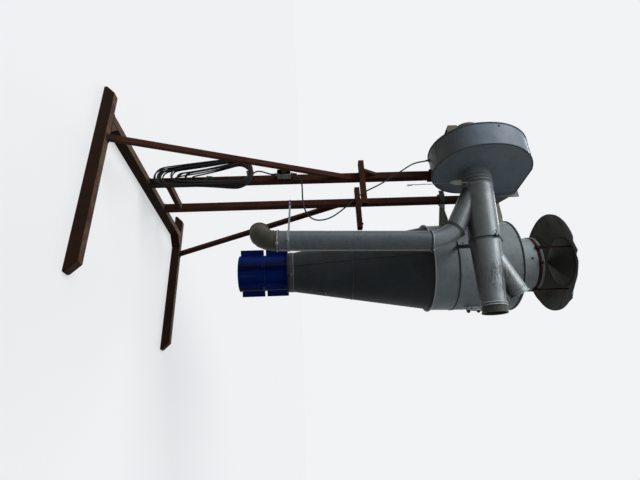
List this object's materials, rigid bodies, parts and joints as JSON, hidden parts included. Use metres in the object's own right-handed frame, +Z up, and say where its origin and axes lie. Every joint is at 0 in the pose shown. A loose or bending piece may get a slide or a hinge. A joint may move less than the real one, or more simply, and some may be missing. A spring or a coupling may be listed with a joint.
{
  "type": "cyclone separator",
  "caption": "Dust cyclone with fan, ducts, rain hat and blue finned outlet sleeve, carried by two posts on a rusty steel skid frame",
  "frame": {"origin": "on the floor under the middle of the cross beam, half way between the two skids", "axes": "+X along the skids to their long ends, +Y from the near skid to the far skid, +Z up"},
  "size_m": [1.6169, 2.0895, 3.9165],
  "materials": {
    "rusty_steel": "rusted red primer",
    "galvanised": "weathered zinc",
    "dark_sheet": "dull dark grey",
    "dull_sheet": "stained zinc",
    "motor_paint": "faded paint",
    "blue_plastic": "semi gloss",
    "grey_plastic": "matt",
    "black_rubber": "matt"
  },
  "bodies": {
    "root": {"near_skid": "rusty_steel", "far_skid": "rusty_steel", "cross_beam": "rusty_steel", "corner_gussets": "rusty_steel", "near_post": "rusty_steel", "far_post": "rusty_steel", "post_tie": "rusty_steel", "near_brace": "rusty_steel", "far_brace": "rusty_steel", "near_lift_arm": "rusty_steel", "far_lift_arm": "rusty_steel", "arm_stay": "rusty_steel", "fan_saddle": "rusty_steel", "fan_scroll": "galvanised", "fan_front": "galvanised", "fan_back": "galvanised", "fan_motor": "motor_paint", "motor_stand": "galvanised", "outlet_flange": "galvanised", "outlet_reducer": "galvanised", "inlet_box": "galvanised", "fan_collar": "galvanised", "main_duct": "galvanised", "joint_ring": "galvanised", "branch_piece": "galvanised", "end_collar": "dark_sheet", "drop_stub": "galvanised", "bend_ring": "dark_sheet", "drop_bend": "galvanised", "down_duct": "dark_sheet", "duct_clamp": "galvanised", "lower_elbow": "dull_sheet", "barrel": "galvanised", "barrel_lid": "galvanised", "cone_flange": "galvanised", "cone": "dark_sheet", "neck": "galvanised", "neck_band": "rusty_steel", "hat_rods": "rusty_steel", "rain_hat": "galvanised", "hat_deflector": "galvanised", "post_clamp": "rusty_steel", "cyclone_arm": "galvanised", "duct_bracket": "galvanised", "outlet_sleeve": "blue_plastic", "switch_box": "grey_plastic", "switch_knob": "black_rubber", "motor_cable": "black_rubber", "supply_cable": "black_rubber", "cable_hank": "black_rubber", "hank_hook": "rusty_steel", "plug_cable": "black_rubber", "supply_plug": "black_rubber", "pull_tag": "galvanised", "pull_cord": "galvanised"}
  },
  "joints": []
}
